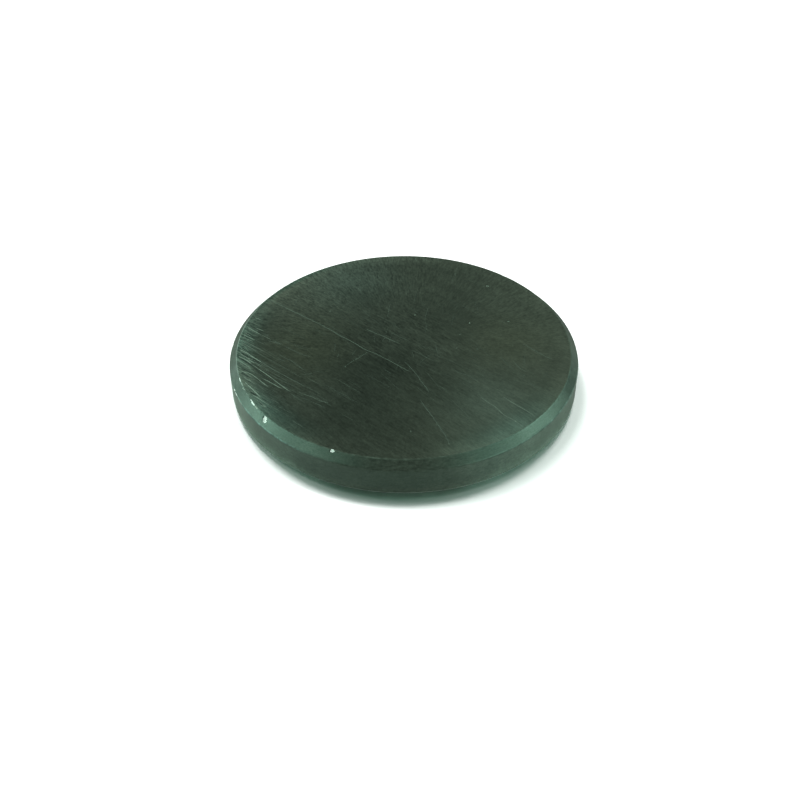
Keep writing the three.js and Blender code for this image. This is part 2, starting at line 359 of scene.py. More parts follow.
def rim_scratches(seed, n, az0, az1, angle, angle_spread, length, width, dark=False):
    """Nearly parallel scratches that enter from the left rim and fade inwards. Azimuths in degrees, left of the front."""
    rng = np.random.default_rng(seed)
    out = []
    for _ in range(n):
        az = math.radians(rng.uniform(az0, az1))
        x0, y0 = -INNER_R * math.sin(az), -INNER_R * math.cos(az)
        step_in = rng.exponential(0.5)
        a = math.radians(angle + rng.normal() * angle_spread)
        ux, uy = math.cos(a), math.sin(a)
        x0, y0 = x0 + ux * (0.05 + step_in), y0 + uy * (0.05 + step_in)
        full = length[0] + (length[1] - length[0]) * rng.random() ** 1.6
        bow = rng.normal() * 0.004
        w = float(rng.uniform(*width))
        top = 7 if dark else int(rng.choice([3, 4, 5, 6], p=[0.22, 0.30, 0.28, 0.20]))
        cuts = [0.0, 0.38, 0.70, 1.0]
        for k in range(3):
            pts = []
            for t in np.linspace(cuts[k] * full, cuts[k + 1] * full, max(3, int((cuts[k + 1] - cuts[k]) * full / 0.9) + 1)):
                pts.append((x0 + ux * t - uy * bow * t * t, y0 + uy * t + ux * bow * t * t))
            if max(math.hypot(*p) for p in pts) < INNER_R and full > 0.6:
                out.append((w * (1.0, 0.9, 0.75)[k], 7 if dark else max(1, top - (0, 2, 3)[k]), pts))
    return out


SCRATCHES += rim_scratches(31, 66, 56.0, 103.0, -40, 2.0, (1.5, 7.5), (0.055, 0.095))
SCRATCHES += rim_scratches(38, 46, 58.0, 103.0, -40, 2.0, (1.2, 5.0), (0.06, 0.12), True)
SCRATCHES += rim_scratches(37, 16, 34.0, 56.0, -44, 4.0, (0.8, 3.0), (0.045, 0.07))
SCRATCHES += fine_scratches(32, 34, (-15.5, -10.5), (3.2, 3.2), -38, 4, (1.5, 5.5), (0.035, 0.06), (1, 3), INNER_R)
SCRATCHES += fine_scratches(33, 50, (0.0, 0.0), (11.0, 11.0), -42, 8, (1.5, 7.0), (0.03, 0.05), (1, 2), INNER_R)
SCRATCHES += fine_scratches(34, 34, (0.0, 6.0), (10.0, 9.0), 88, 14, (1.0, 4.0), (0.03, 0.05), (1, 2), INNER_R)
SCRATCHES += fine_scratches(35, 26, (11.0, -10.0), (6.0, 6.0), -50, 8, (1.5, 6.0), (0.03, 0.055), (1, 2), INNER_R)
SCRATCHES += fine_scratches(36, 24, (0.0, 0.0), (12.0, 12.0), 20, 60, (0.6, 2.4), (0.03, 0.05), (1, 2), INNER_R)
DEPTH = 0.24                       # scratch depth over its width


def resample(path, step):
    p = np.array(path, float)
    if len(p) > 2:                 # Catmull-Rom through the points, so that a long scratch has no corners
        q = np.vstack([2 * p[0] - p[1], p, 2 * p[-1] - p[-2]])
        fine = []
        for i in range(1, len(q) - 2):
            for t in np.linspace(0, 1, 6, endpoint=False):
                a, b, c, d = q[i - 1], q[i], q[i + 1], q[i + 2]
                fine.append(0.5 * (2 * b + (c - a) * t + (2 * a - 5 * b + 4 * c - d) * t ** 2 + (3 * b - a - 3 * c + d) * t ** 3))
        fine.append(p[-1])
        p = np.array(fine)
    seg = np.linalg.norm(np.diff(p, axis=0), axis=1)
    s = np.concatenate([[0], np.cumsum(seg)])
    n = max(2, int(round(s[-1] / step)) + 1)
    u = np.linspace(0, s[-1], n)
    return np.stack([np.interp(u, s, p[:, 0]), np.interp(u, s, p[:, 1])], 1), u / s[-1]


class Face:
    """Grooves and pits cut into one flat face, as constraint lines and a depth for any point."""

    def __init__(self, scratches, pits, seed, limit):
        rng = np.random.default_rng(seed)
        self.seg_a, self.seg_b, self.w_a, self.w_b, self.st = [], [], [], [], []
        self.lines, self.pits, self.limit = [], pits, limit
        for w, level, path in scratches:
            c, t = resample(path, 0.55 if w > 0.075 else 0.8)
            full = np.linalg.norm(np.diff(c, axis=0), axis=1).sum()
            end = min(0.2 * full, 1.1) / full
            head = np.ones_like(t) if math.hypot(*c[0]) > limit - 0.35 else np.clip(t / end, 0, 1)
            taper = np.minimum(head, np.clip((1 - t) / end, 0, 1)) ** 0.6
            wobble = 1 + 0.25 * np.sin(t * rng.uniform(9, 16) + rng.uniform(0, 6)) * rng.uniform(0.3, 1)
            half = w / 2 * np.clip(taper * wobble, 0.06, 1.4)
            tan = np.gradient(c, axis=0)
            tan /= np.linalg.norm(tan, axis=1)[:, None]
            nor = np.stack([-tan[:, 1], tan[:, 0]], 1)
            # Nothing may cross the edge of the face.
            c, left, right = (p * np.minimum(1, (limit + 0.08) / np.hypot(p[:, 0], p[:, 1]))[:, None]
                              for p in (c, c + nor * half[:, None], c - nor * half[:, None]))
            self.lines.append((c, left, right))
            self.seg_a.append(c[:-1]); self.seg_b.append(c[1:])
            self.w_a.append(half[:-1]); self.w_b.append(half[1:])
            self.st.append(np.full(len(c) - 1, level))
        self.seg_a, self.seg_b = np.vstack(self.seg_a), np.vstack(self.seg_b)
        self.w_a, self.w_b, self.st = np.concatenate(self.w_a), np.concatenate(self.w_b), np.concatenate(self.st)

    def depth(self, pts):
        """Depth in mm and brightness level at each point."""
        out, strength = np.zeros(len(pts)), np.zeros(len(pts))
        d = self.seg_b - self.seg_a
        dd = (d ** 2).sum(1)
        for i0 in range(0, len(pts), 4000):
            p = pts[i0:i0 + 4000]
            ap = p[:, None, :] - self.seg_a[None]
            t = np.clip((ap * d[None]).sum(2) / dd[None], 0, 1)
            dist = np.linalg.norm(ap - t[:, :, None] * d[None], axis=2)
            half = self.w_a[None] * (1 - t) + self.w_b[None] * t
            h = (half - dist) * 2 * DEPTH * np.where(self.st == 7, 0.45, 0.55 + 0.09 * self.st)[None]
            k = h.argmax(1)
            best = h[np.arange(len(p)), k]
            out[i0:i0 + 4000] = np.clip(best, 0, None)
            strength[i0:i0 + 4000] = np.where(best > 0, self.st[k], 0)
        for x, y, a, b, ang, level in self.pits:
            c, s = math.cos(math.radians(ang)), math.sin(math.radians(ang))
            u = ((pts[:, 0] - x) * c + (pts[:, 1] - y) * s) / (a / 2)
            v = (-(pts[:, 0] - x) * s + (pts[:, 1] - y) * c) / (b / 2)
            h = 0.055 * np.clip(1 - np.hypot(u, v), 0, 1)
            strength = np.where(h > out, level, strength)
            out = np.maximum(out, h)
        return out, strength

    def constraints(self):
        pts, edges = [], []
        for c, left, right in self.lines:
            for line in (c, left, right):
                base = len(pts)
                pts += [tuple(p) for p in line]
                edges += [(base + i, base + i + 1) for i in range(len(line) - 1)]
        for x, y, a, b, ang, level in self.pits:
            c, s = math.cos(math.radians(ang)), math.sin(math.radians(ang))
            n = 10
            base = len(pts)
            for k in range(n):
                u, v = a / 2 * math.cos(k * 2 * math.pi / n), b / 2 * math.sin(k * 2 * math.pi / n)
                pts.append((x + u * c - v * s, y + u * s + v * c))
            pts.append((x, y))
            edges += [(base + k, base + (k + 1) % n) for k in range(n)]
        return pts, edges


def flat_face(boundary, face, grid_step, seed):
    """Triangulates the inside of a boundary loop with every scratch as real edges.
    Returns 2D points, triangles, and for each point the index of the boundary vertex it is, or -1."""
    rng = np.random.default_rng(seed)
    n = len(boundary)
    pts = [tuple(p) for p in boundary]
    edges = [(i, (i + 1) % n) for i in range(n)]
    extra, extra_edges = face.constraints()
    base = len(pts)
    pts += extra
    edges += [(a + base, b + base) for a, b in extra_edges]
    # A loose, nearly even grid between the scratches keeps the triangles well shaped.
    r_in = np.min(np.hypot(boundary[:, 0], boundary[:, 1]))
    grid = []
    rows = int(r_in / (grid_step * 0.866))
    for j in range(-rows, rows + 1):
        for i in range(-int(r_in / grid_step) - 1, int(r_in / grid_step) + 2):
            x, y = (i + 0.5 * (j & 1)) * grid_step, j * grid_step * 0.866
            if math.hypot(x, y) < r_in - 0.25:
                grid.append((x + rng.uniform(-.1, .1), y + rng.uniform(-.1, .1)))
    for k, r_off in enumerate((0.16, 0.42)):              # two coarser rings lead in from the fine boundary
        m = n // (2 if k == 0 else 4)
        for q in range(m):
            a = (q + 0.5 * k) * 2 * math.pi / m
            grid.append(((r_in - r_off) * math.sin(a), -(r_in - r_off) * math.cos(a)))
    grid = np.array(grid)
    near = face.depth(grid)[0] > 0
    d = face.seg_b - face.seg_a
    dd = (d ** 2).sum(1)
    for i0 in range(0, len(grid), 4000):
        ap = grid[i0:i0 + 4000, None, :] - face.seg_a[None]
        t = np.clip((ap * d[None]).sum(2) / dd[None], 0, 1)
        dist = np.linalg.norm(ap - t[:, :, None] * d[None], axis=2) - face.w_a[None]
        near[i0:i0 + 4000] |= dist.min(1) < 0.12
    pts += [tuple(p) for p in grid[~near]]
    vs, es, fs, ov, oe, of_ = delaunay_2d_cdt([Vector(p) for p in pts], edges, [list(range(n))], 1, 1e-4, True)
    xy = np.array([(v.x, v.y) for v in vs])
    back = np.full(len(vs), -1)
    for i, src in enumerate(ov):
        for s in src:
            if s < n:
                back[i] = s
    tris = []
    for f in fs:
        f = list(f)
        a, b, c = xy[f[0]], xy[f[1]], xy[f[2]]
        if (b[0] - a[0]) * (c[1] - a[1]) - (b[1] - a[1]) * (c[0] - a[0]) < 0:
            f.reverse()
        tris.append(f)
    return xy, tris, back


class Builder:
    """Collects vertices and faces with a material index and a smooth flag, then makes one mesh object."""

    def __init__(self):
        self.v, self.f, self.m, self.s = [], [], [], []
        self.n = 0

    def add(self, verts):
        base = self.n
        self.v.append(np.asarray(verts, float).reshape(-1, 3))
        self.n += len(self.v[-1])
        return base

    def face(self, idx, mat=0, smooth=True):
        self.f.append(tuple(int(i) for i in idx))
        self.m.append(mat)
        self.s.append(smooth)

    def make(self, name, materials):
        v = np.vstack(self.v) * MM
        mesh = bpy.data.meshes.new(name)
        mesh.from_pydata(v.tolist(), [], self.f)
        for m in materials:
            mesh.materials.append(m)
        mesh.polygons.foreach_set("material_index", self.m)
        mesh.polygons.foreach_set("use_smooth", self.s)
        mesh.validate()
        mesh.update()
        o = bpy.data.objects.new(name, mesh)
        bpy.context.scene.collection.objects.link(o)
        return o


def ring_strip(b, base, i, j, n, mats=None, smooth=True):
    """Quads between ring i and ring j of a grid whose first vertex is base."""
    for k in range(n):
        k2 = (k + 1) % n
        b.face((base + i * n + k, base + j * n + k, base + j * n + k2, base + i * n + k2),
               0 if mats is None else mats[k], smooth)


def zipper(b, outer, inner, az_outer, az_inner, mat=0, smooth=False):
    """Joins two closed loops of vertices, listed by rising azimuth, with triangles facing down (-Z)."""
    no, ni = len(outer), len(inner)
    i = j = 0
    start = int(np.argmin(np.abs(wrap_deg(az_outer - az_inner[0]))))
    o_idx = [outer[(start + k) % no] for k in range(no + 1)]
    i_idx = [inner[k % ni] for k in range(ni + 1)]
    ao = np.array([((az_outer[(start + k) % no] - az_inner[0] + 180) % 360) - 180 if k < no // 2 else
                   ((az_outer[(start + k) % no] - az_inner[0]) % 360) for k in range(no)] + [360.0])
    ai = np.array([(az_inner[k] - az_inner[0]) % 360 for k in range(ni)] + [360.0])
    while i < no or j < ni:
        if j >= ni or (i < no and ao[i + 1] - 1e-9 <= ai[j + 1] + (1e-9 if i < no else 0)):
            b.face((o_idx[i], i_idx[j], o_idx[i + 1]), mat, smooth)
            i += 1
        else:
            b.face((o_idx[i], i_idx[j], i_idx[j + 1]), mat, smooth)
            j += 1


# ------------------------------------------------------------------ the body shell
def build_shell(materials):
    b = Builder()
    n_r = len(skin)
    base = b.add(skin.reshape(-1, 3))
    for i in range(n_r - 1):
        ki = np.maximum(kind[i], kind[i + 1])
        deep = np.maximum(disp[i], disp[i + 1])
        mats = np.where(deep > 0.006, ki, 0)
        ring_strip(b, base, i, i + 1, N_AZ, mats)
    # Top face inside ring 0.
    face = Face(SCRATCHES, PITS, 5, INNER_R)
    xy, tris, back = flat_face(skin[0][:, :2], face, 0.95, 6)
    d, strength = face.depth(xy)
    own = np.where(back < 0)[0]
    z = T - d
    start = b.add(np.column_stack([xy[own], z[own]]))
    index = np.empty(len(xy), int)
    index[own] = start + np.arange(len(own))
    index[back >= 0] = base + back[back >= 0]
    cen = np.array([xy[t].mean(0) for t in tris])
    dc, sc = face.depth(cen)
    for t, dep, st in zip(tris, dc, sc):
        mat = 0 if dep < 0.0012 else 2 + int(st)
        b.face([index[q] for q in t], mat, False)
    # The cavity, ring, ribs and bosses come from the CAD node as they are.
    o = frame["nodes"]["body_shell"]
    co = node_vertices("body_shell")
    key = {}
    remap = np.empty(len(co), int)
    merged = []
    for i, p in enumerate(co):
        k = (round(p[0], 3), round(p[1], 3), round(p[2], 3))
        if k not in key:
            key[k] = len(merged)
            merged.append(p)
        remap[i] = key[k]
    merged = np.array(merged)
    rad = np.hypot(merged[:, 0], merged[:, 1])
    cbase = b.add(merged)
    used = {}
    for poly in o.data.polygons:
        f = [remap[v] for v in poly.vertices]
        if len(set(f)) < 3:
            continue
        rr, zz = rad[f], merged[f][:, 2]
        if rr.max() > CAVITY_R + 0.02:                    # the outer skin and the ledge are made finer above
            continue
        if zz.min() > T - 0.01:                           # the top face
            continue
        b.face([cbase + q for q in f], 0, False)
        for q in range(3):
            e = (f[q], f[(q + 1) % 3])
            used[e] = used.get(e, 0) + 1
    loop = {}
    for (p, q), c in used.items():
        if (q, p) not in used:
            loop[p] = q
    order = [next(iter(loop))]
    while len(order) < len(loop):
        order.append(loop[order[-1]])
    az = np.degrees(np.arctan2(merged[order][:, 0], -merged[order][:, 1]))
    if wrap_deg(az[1] - az[0]) < 0:
        order, az = order[::-1], az[::-1]
    outer = [base + (n_r - 1) * N_AZ + k for k in range(N_AZ)]
    zipper(b, outer, [cbase + q for q in order], np.degrees(AZ), np.asarray(az), 0, False)
    shell = b.make("shell_worn", materials)
    # Drop the CAD vertices nothing uses.
    import bmesh
    bm = bmesh.new()
    bm.from_mesh(shell.data)
    bmesh.ops.delete(bm, geom=[v for v in bm.verts if not v.link_faces], context="VERTS")
    bm.to_mesh(shell.data)
    bm.free()
    return shell


# ------------------------------------------------------------------ turned pieces
def turned(name, corners, counts, materials, n=240, mats=None, smooth=True, centre=True):
    """A solid of revolution with rounded corners, closed on the axis at both ends."""
    b = Builder()
    ang = np.arange(n) * 2 * math.pi / n
    pts = []
    P = [np.array(c[:2], float) for c in corners]
    for i in range(len(P)):
        fil, steps = corners[i][2], corners[i][3]
        if fil and 0 < i < len(P) - 1:
            u = (P[i] - P[i - 1]) / np.linalg.norm(P[i] - P[i - 1])
            v = (P[i + 1] - P[i]) / np.linalg.norm(P[i + 1] - P[i])
            n1, n2 = np.array([-u[1], u[0]]), np.array([-v[1], v[0]])
            cross = u[0] * v[1] - u[1] * v[0]
            sgn = 1.0 if cross < 0 else -1.0
            turn = math.acos(max(-1, min(1, float(n1 @ n2))))
            C = P[i] - u * fil * math.tan(turn / 2) - n1 * fil * sgn
            for k in range(steps + 1):
                a = turn * k / steps
                nn = (n1 * math.sin(turn - a) + n2 * math.sin(a)) / math.sin(turn)
                pts.append(C + fil * sgn * nn)
        else:
            pts.append(P[i])
        if i < len(P) - 1:
            nxt = P[i + 1]
            for k in range(1, counts[i]):
                a0 = pts[-1] if k == 1 else a0
                pts.append(a0 + (nxt - a0) * (k / counts[i]) * (1 if counts[i] == 1 else 0.98))
    pts = [p for p in pts if p[0] > 1e-6]
    grid = np.array([[(p[0] * math.sin(a), -p[0] * math.cos(a), p[1]) for a in ang] for p in pts])
    base = b.add(grid.reshape(-1, 3))
    for i in range(len(pts) - 1):
        ring_strip(b, base, i, i + 1, n, None, smooth)
    top = b.add([(0, 0, corners[0][1])])
    bot = b.add([(0, 0, corners[-1][1])])
    last = base + (len(pts) - 1) * n
    for k in range(n):
        b.face((top, base + k, base + (k + 1) % n), 0, smooth)
        b.face((bot, last + (k + 1) % n, last + k), 0, smooth)
    return b, base, pts


# ------------------------------------------------------------------ material helpers
class Tree:
    def __init__(self, name):
        self.mat = bpy.data.materials.new(name)
        self.mat.use_nodes = True
        self.nt = self.mat.node_tree
        self.nt.nodes.clear()
        self.out = self.nt.nodes.new("ShaderNodeOutputMaterial")
        self.bsdf = self.nt.nodes.new("ShaderNodeBsdfPrincipled")
        self.nt.links.new(self.bsdf.outputs[0], self.out.inputs["Surface"])
        self._mm = None

    def node(self, kind, **props):
        n = self.nt.nodes.new(kind)
        for k, v in props.items():
            setattr(n, k, v)
        return n

    def put(self, socket, value):
        if isinstance(value, bpy.types.NodeSocket):
            self.nt.links.new(value, socket)
        else:
            socket.default_value = value

    def math(self, op, a, b=0.0, c=None, clamp=False):
        n = self.node("ShaderNodeMath", operation=op, use_clamp=clamp)
        self.put(n.inputs[0], a)
        self.put(n.inputs[1], b)
        if c is not None:
            self.put(n.inputs[2], c)
        return n.outputs[0]

    def vec(self, x, y, z):
        n = self.node("ShaderNodeCombineXYZ")
        for s, v in zip(n.inputs, (x, y, z)):
            self.put(s, v)
        return n.outputs[0]

    def mm(self):
        """Object position in millimetres, as (vector, x, y, z, radius, azimuth in radians)."""
        if self._mm is None:
            tc = self.node("ShaderNodeTexCoord")
            sc = self.node("ShaderNodeVectorMath", operation="SCALE")
            self.nt.links.new(tc.outputs["Object"], sc.inputs[0])
            sc.inputs["Scale"].default_value = 1000.0
            sep = self.node("ShaderNodeSeparateXYZ")
            self.nt.links.new(sc.outputs[0], sep.inputs[0])
            x, y, z = sep.outputs
            rad = self.math("SQRT", self.math("ADD", self.math("MULTIPLY", x, x), self.math("MULTIPLY", y, y)))
            az = self.math("ARCTAN2", x, self.math("MULTIPLY", y, -1.0))
            self._mm = (sc.outputs[0], x, y, z, rad, az)
        return self._mm

    def noise(self, vector, scale=1.0, detail=3.0, rough=0.5, distortion=0.0):
        n = self.node("ShaderNodeTexNoise")
        self.put(n.inputs["Vector"], vector)
        n.inputs["Scale"].default_value = scale
        n.inputs["Detail"].default_value = detail
        n.inputs["Roughness"].default_value = rough
        n.inputs["Distortion"].default_value = distortion
        return n.outputs["Fac"]

    def ramp(self, value, lo, hi, out_lo=0.0, out_hi=1.0, smooth=True):
        n = self.node("ShaderNodeMapRange", interpolation_type="SMOOTHSTEP" if smooth else "LINEAR", clamp=True)
        self.put(n.inputs["Value"], value)
        for k, v in (("From Min", lo), ("From Max", hi), ("To Min", out_lo), ("To Max", out_hi)):
            self.put(n.inputs[k], v)
        return n.outputs["Result"]

    def mix(self, fac, a, b):
        n = self.node("ShaderNodeMix", data_type="RGBA", blend_type="MIX")
        self.put(n.inputs["Factor"], fac)
        for key, v in (("A", a), ("B", b)):
            s = [q for q in n.inputs if q.name == key and q.type == "RGBA"][0]
            self.put(s, v if isinstance(v, bpy.types.NodeSocket) else (*v, 1.0))
        return [q for q in n.outputs if q.type == "RGBA"][0]

    def strokes(self, angle, along, across, seed, warp=0.6, detail=3.0, rough=0.55):
        """Noise drawn out into fine strokes at an angle on the X-Y plane."""
        _, x, y, z, _, _ = self.mm()
        c, s = math.cos(math.radians(angle)), math.sin(math.radians(angle))
        u = self.math("ADD", self.math("MULTIPLY", x, c), self.math("MULTIPLY", y, s))
        v = self.math("ADD", self.math("MULTIPLY", x, -s), self.math("MULTIPLY", y, c))
        bend = self.noise(self.vec(self.math("MULTIPLY", x, 0.06), self.math("MULTIPLY", y, 0.06), seed * 3.1), 1.0, 1.0)
        v = self.math("ADD", v, self.math("MULTIPLY", self.math("SUBTRACT", bend, 0.5), warp * 10))
        return self.noise(self.vec(self.math("MULTIPLY", u, along), self.math("MULTIPLY", v, across), seed * 7.7), 1.0, detail, rough)

    def arcs(self, cx, cy, along, across, seed, detail=3.0):
        """Noise drawn out into strokes on circles round a point."""
        _, x, y, z, _, _ = self.mm()
        dx, dy = self.math("SUBTRACT", x, cx), self.math("SUBTRACT", y, cy)
        rr = self.math("SQRT", self.math("ADD", self.math("MULTIPLY", dx, dx), self.math("MULTIPLY", dy, dy)))
        aa = self.math("ARCTAN2", dx, dy)
        return self.noise(self.vec(self.math("MULTIPLY", rr, across), self.math("MULTIPLY", aa, along), seed * 5.3), 1.0, detail, 0.55)

    def around(self, along, across, seed, detail=3.0):
        """Strokes that run round the disc, for walls and chamfers."""
        _, x, y, z, rad, az = self.mm()
        height = self.math("SUBTRACT", z, rad)
        cxy = self.vec(self.math("MULTIPLY", self.math("SINE", az), along * 25), self.math("MULTIPLY", self.math("COSINE", az), along * 25), self.math("MULTIPLY", height, across))
        n = self.node("ShaderNodeVectorMath", operation="ADD")
        self.put(n.inputs[0], cxy)
        n.inputs[1].default_value = (seed * 3.3, seed * 1.7, seed * 9.1)
        return self.noise(n.outputs[0], 1.0, detail, 0.55)

    def fan(self, cx, cy, along, across, seed, detail=3.0):
        """Noise drawn out into strokes that point at (cx, cy)."""
        _, x, y, z, _, _ = self.mm()
        dx, dy = self.math("SUBTRACT", x, cx), self.math("SUBTRACT", y, cy)
        rr = self.math("SQRT", self.math("ADD", self.math("MULTIPLY", dx, dx), self.math("MULTIPLY", dy, dy)))
        rr = self.math("MAXIMUM", rr, 0.5)
        return self.noise(self.vec(self.math("MULTIPLY", self.math("DIVIDE", dx, rr), across),
                                   self.math("MULTIPLY", self.math("DIVIDE", dy, rr), across),
                                   self.math("ADD", self.math("MULTIPLY", rr, along), seed * 11.3)), 1.0, detail, 0.55)

    def spot(self, cx, cy, radius):
        """1 at (cx, cy), falling smoothly to 0 at a radius."""
        _, x, y, z, _, _ = self.mm()
        dx, dy = self.math("SUBTRACT", x, cx), self.math("SUBTRACT", y, cy)
        rr = self.math("SQRT", self.math("ADD", self.math("MULTIPLY", dx, dx), self.math("MULTIPLY", dy, dy)))
        return self.ramp(rr, 0.0, radius, 1.0, 0.0)

    def stops(self, value, points):
        """Value looked up in a list of (position, value) stops."""
        n = self.node("ShaderNodeValToRGB")
        self.put(n.inputs["Fac"], value)
        n.color_ramp.interpolation = "EASE"
        el = n.color_ramp.elements
        top = max(v for _, v in points)
        points = [(pos, v / top) for pos, v in points]
        el[0].position, el[0].color = points[0][0], (points[0][1],) * 3 + (1,)
        el[1].position, el[1].color = points[-1][0], (points[-1][1],) * 3 + (1,)
        for pos, v in points[1:-1]:
            el.new(pos).color = (v, v, v, 1)
        return self.math("MULTIPLY", n.outputs["Color"], top)

    def blend(self, fac, a, b):
        n = self.node("ShaderNodeMix", data_type="FLOAT")
        self.put(n.inputs["Factor"], fac)
        for key, v in (("A", a), ("B", b)):
            self.put([q for q in n.inputs if q.name == key and q.type == "VALUE"][0], v)
        return [q for q in n.outputs if q.type == "VALUE"][0]

    def scale(self, color, factor):
        n = self.node("ShaderNodeVectorMath", operation="SCALE")
        self.put(n.inputs[0], color if isinstance(color, bpy.types.NodeSocket) else tuple(color))
        self.put(n.inputs["Scale"], factor)
        return n.outputs[0]

    def multiply(self, color, factor, amount):
        n = self.node("ShaderNodeMix", data_type="RGBA", blend_type="MULTIPLY")
        self.put(n.inputs["Factor"], amount)
        for key, v in (("A", color), ("B", factor)):
            q = [q for q in n.inputs if q.name == key and q.type == "RGBA"][0]
            self.put(q, v if isinstance(v, bpy.types.NodeSocket) else (*v, 1.0))
        return [q for q in n.outputs if q.type == "RGBA"][0]

    def bump(self, height, strength, distance_mm, normal=None):
        n = self.node("ShaderNodeBump")
        n.inputs["Strength"].default_value = strength
        n.inputs["Distance"].default_value = distance_mm * MM
        self.put(n.inputs["Height"], height)
        if normal is not None:
            self.put(n.inputs["Normal"], normal)
        return n.outputs[0]

    def up(self):
        """1 on faces that look straight up or down, 0 on walls and chamfers."""
        g = self.node("ShaderNodeNewGeometry")
        sep = self.node("ShaderNodeSeparateXYZ")
        self.nt.links.new(g.outputs["True Normal"], sep.inputs[0])
        return self.ramp(self.math("ABSOLUTE", sep.outputs[2]), 0.86, 0.97)


    def glancing(self):
        """1 when the surface is looked at from low down, 0 from well above."""
        g = self.node("ShaderNodeNewGeometry")
        sep = self.node("ShaderNodeSeparateXYZ")
        self.nt.links.new(g.outputs["Incoming"], sep.inputs[0])
        return self.ramp(self.math("ABSOLUTE", sep.outputs[2]), 0.465, 0.520, 0.92, 0.0)

    def dulled(self, color, normal, amount):
        """Trades part of the reflection for plain diffuse."""
        matte = self.node("ShaderNodeBsdfDiffuse")
        self.put(matte.inputs["Color"], color)
        self.put(matte.inputs["Normal"], normal)
        both = self.node("ShaderNodeMixShader")
        self.put(both.inputs[0], amount)
        self.nt.links.new(self.bsdf.outputs[0], both.inputs[1])
        self.nt.links.new(matte.outputs[0], both.inputs[2])
        self.nt.links.new(both.outputs[0], self.out.inputs["Surface"])


SPEC_TINT = (0.52, 1.0, 0.75, 1.0)
SIDE_TINT = (0.60, 1.0, 0.80)
BASE = (0.0384, 0.0420, 0.0326)
# EDGE: lighter colour of rubbed edges, also used for painted edge highlights and painted bounce light on the lower
# chamfer.
EDGE = (0.110, 0.135, 0.108)


def plastic(name, base, contrast=1.0):
    """Satin dark plastic: fine sanding strokes and soft mottling. Returns the tree, colour, stroke height,
    grain and the flat-face mask."""
    t = Tree(name)
    p, x, y, z, rad, az = t.mm()
    up = t.up()
    mottle = t.noise(p, 0.16, 3.0, 0.5)
    grain = t.noise(p, 4.5, 3.0, 0.6)
    speckle = t.noise(p, 2.9, 3.0, 0.62)
    # Strokes on the flats: a fan of short radial ones, strongest towards the back, and two diagonal families.
    radial = t.math("ADD", t.math("MULTIPLY", t.fan(1.0, -1.5, 0.75, 80.0, 1.0, 2.0), 0.55),
                    t.math("MULTIPLY", t.fan(0.0, -4.0, 1.6, 150.0, 2.0, 2.0), 0.45))
    diagonal = t.math("ADD", t.math("MULTIPLY", t.strokes(-42, 0.45, 4.4, 3.0, 0.30, 2.0), 0.6),
                      t.math("MULTIPLY", t.strokes(-58, 0.9, 6.5, 4.0, 0.25, 2.0), 0.4))
    to_fan = t.math("MULTIPLY", t.ramp(rad, 5.0, 14.0), t.ramp(y, -12.0, 6.0, 0.25, 0.9))
    flat_line = t.blend(0.30, t.blend(to_fan, diagonal, radial), speckle)
    blur = t.strokes(-45, 0.10, 0.7, 6.0, 0.40, 2.0)
    side = t.math("ADD", t.math("MULTIPLY", t.around(1.2, 5.0, 5.0), 0.5), t.math("MULTIPLY", speckle, 0.5))
    line = t.blend(up, side, flat_line)
    # Brightness factor.
    flat_strength = t.math("MULTIPLY", t.ramp(y, -14.0, 8.0, 3.2 * contrast, 5.2 * contrast), t.ramp(x, -3.0, 11.0, 1.0, 0.68))
    strength = t.blend(up, 2.6 * contrast, flat_strength)
    k = t.math("ADD", 1.0, t.math("MULTIPLY", t.math("SUBTRACT", line, 0.5), strength))
    k = t.math("MULTIPLY", t.math("MAXIMUM", k, 0.35), t.ramp(mottle, 0.3, 0.7, 0.90, 1.10, False))
    k = t.math("MULTIPLY", k, t.ramp(blur, 0.3, 0.7, 0.90, 1.10, False))
    fine = t.ramp(x, -6.0, 9.0, 0.16, 0.09)
    k = t.math("MULTIPLY", k, t.math("ADD", 1.0, t.math("MULTIPLY", t.ramp(grain, 0.3, 0.7, -1.0, 1.0, False), fine)))
    return t, t.scale(base, k), line, grain, up


